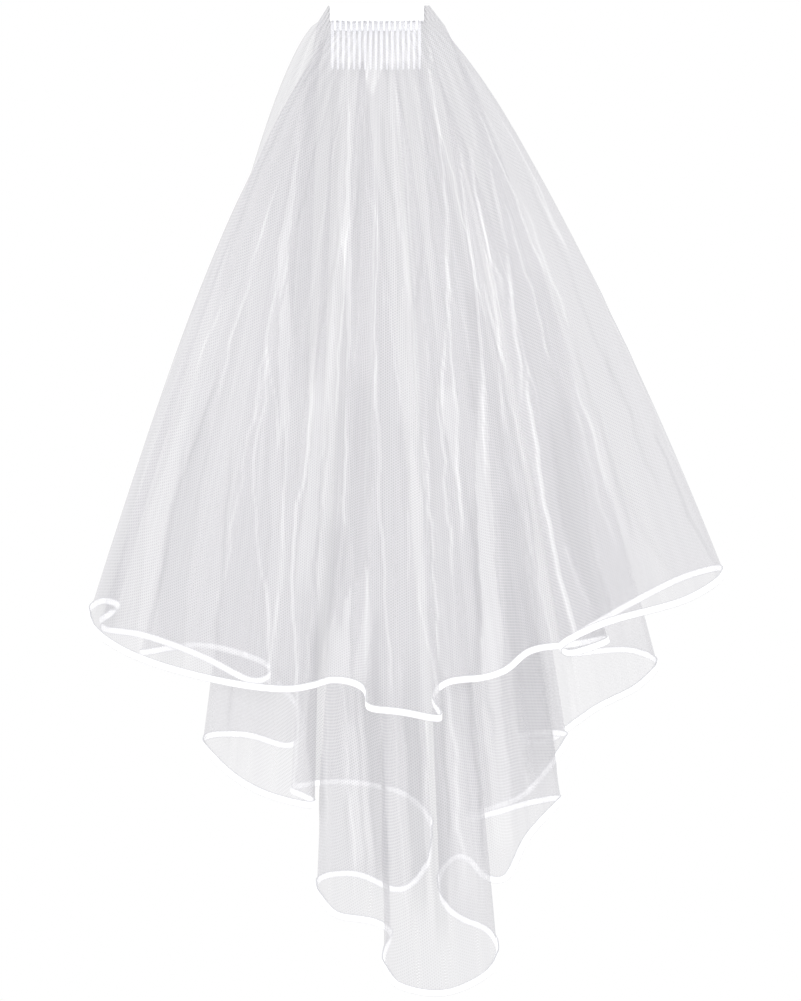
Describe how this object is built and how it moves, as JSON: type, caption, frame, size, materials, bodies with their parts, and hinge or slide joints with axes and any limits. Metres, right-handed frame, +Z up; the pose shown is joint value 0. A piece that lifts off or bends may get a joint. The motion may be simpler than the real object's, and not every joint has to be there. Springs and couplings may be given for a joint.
{
  "type": "bridal veil",
  "caption": "Sheer tulle bridal veil hanging in uneven flutes from a hair comb, with a shorter tier over a longer one and narrow satin ribbon along both hems.",
  "frame": {"origin": "in the comb's spine, half way along it and 1.6 mm below its top edge, where the wearer's hair holds it", "axes": "+Z up as the veil hangs, +X to the right seen from the comb's side, +Y from the comb back through the upper tier and then the lower tier, away from the wearer's head"},
  "size_m": [0.5771, 0.2031, 0.9013],
  "materials": {
    "tulle": "sheer, soft net",
    "satin": "satin",
    "comb_plastic": "gloss"
  },
  "bodies": {
    "root": {"upper_tier": "tulle", "lower_tier": "tulle", "upper_ribbon": "satin", "lower_ribbon": "satin", "head_band": "satin", "comb": "comb_plastic"}
  },
  "joints": []
}
